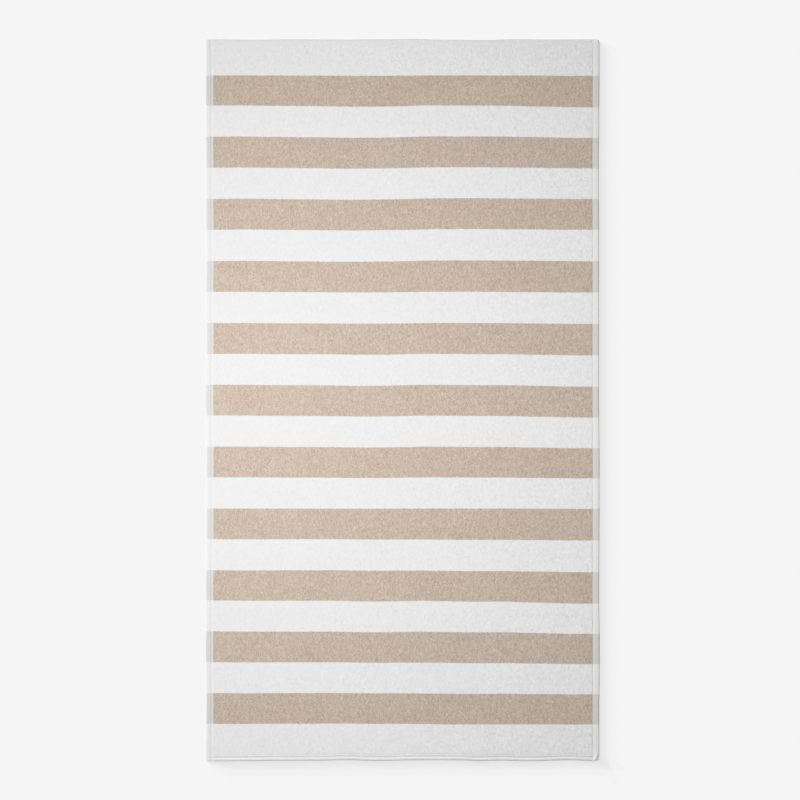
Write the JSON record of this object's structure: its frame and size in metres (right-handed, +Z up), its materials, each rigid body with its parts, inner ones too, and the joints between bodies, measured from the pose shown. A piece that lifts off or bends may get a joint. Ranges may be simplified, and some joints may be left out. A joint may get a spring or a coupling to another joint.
{
  "type": "beach towel",
  "caption": "Rectangular striped terry beach towel lying flat, with flat side hems, rolled end hems and a low looped pile.",
  "frame": {"origin": "middle of the underside, on the surface that the towel lies on", "axes": "+X across the towel, +Y along its length, +Z up out of the pile face"},
  "size_m": [0.9184, 1.6846, 0.0049],
  "materials": {
    "terry": "matt looped cotton pile, white with sand beige stripes across the width"
  },
  "bodies": {
    "root": {"towel": "terry"}
  },
  "joints": []
}
